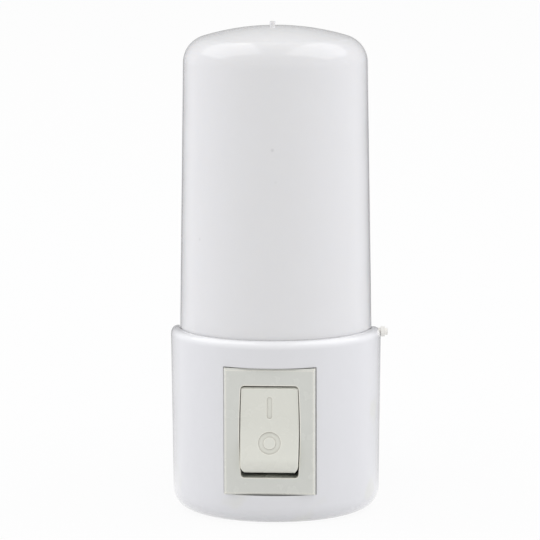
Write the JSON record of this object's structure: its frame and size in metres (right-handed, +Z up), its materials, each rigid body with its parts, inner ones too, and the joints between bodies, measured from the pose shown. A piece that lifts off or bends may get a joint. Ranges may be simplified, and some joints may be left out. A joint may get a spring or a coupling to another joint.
{
  "type": "plug-in night light",
  "caption": "Plug-in night light with an opal cylindrical shade, a round white base, a rocker switch in front and a round-pin plug behind.",
  "frame": {"origin": "centre of the plug's engagement face, midway between the pins", "axes": "+Y along the pins, away from the lamp; +Z up; +X to the right when facing the switch"},
  "size_m": [0.0364, 0.0734, 0.0817],
  "materials": {
    "white_plastic": "gloss",
    "opal_plastic": "satin",
    "ivory_plastic": "satin",
    "nylon": "satin",
    "spring_steel": "polished",
    "zinc_steel": "polished",
    "brass": "satin",
    "silver_alloy": "satin",
    "board_laminate": "matte",
    "lamp_epoxy": "gloss",
    "capacitor_epoxy": "gloss",
    "capacitor_can": "satin",
    "black_epoxy": "matte",
    "resistor_lacquer": "gloss",
    "cement": "matte",
    "brown_insulation": "satin",
    "black_insulation": "satin",
    "blue_insulation": "satin",
    "shrink_tube": "satin"
  },
  "bodies": {
    "lamp": {"front_shell": "white_plastic", "rear_shell": "white_plastic", "shade": "opal_plastic", "shade_lock_peg": "ivory_plastic", "switch_housing": "ivory_plastic", "fixed_contact": "silver_alloy", "common_terminal": "brass", "switched_terminal": "brass", "left_pin": "brass", "right_pin": "brass", "pin_sleeves": "white_plastic", "pin_retainer": "white_plastic", "retainer_screw": "zinc_steel", "case_screws": "zinc_steel", "led_board": "board_laminate", "leds": "lamp_epoxy", "film_capacitor": "capacitor_epoxy", "smoothing_capacitor": "capacitor_can", "bridge_rectifier": "black_epoxy", "bleed_resistor": "resistor_lacquer", "fusible_resistor": "cement", "live_lead": "brown_insulation", "switched_lead": "black_insulation", "neutral_lead": "blue_insulation", "tab_sleeves": "shrink_tube"},
    "rocker": {"rocker": "ivory_plastic", "rocker_spring": "spring_steel"},
    "plunger": {"rocker_plunger": "nylon"},
    "contact_bar": {"contact_bar": "brass", "moving_contact": "silver_alloy"}
  },
  "joints": [
    {"name": "rocker_hinge", "type": "hinge", "parent": "lamp", "child": "rocker", "pos_m": [0, -0.0499, 0.0019], "axis": [1, 0, 0], "range_deg": [0, 24]},
    {"name": "contact_bar_hinge", "type": "hinge", "parent": "lamp", "child": "contact_bar", "pos_m": [0, -0.04132, 0.0019], "axis": [1, 0, 0], "range_deg": [-14.4, 0]},
    {"name": "plunger_slide", "type": "slide", "parent": "rocker", "child": "plunger", "axis": [0, -0.9781, 0.2079], "range_m": [0, 0.0003], "stiffness_N_per_m": 400, "deforming": ["rocker_spring"]}
  ],
  "couplings": [
    {"joint": "contact_bar_hinge", "follows": "rocker_hinge", "ratio": -0.6}
  ]
}
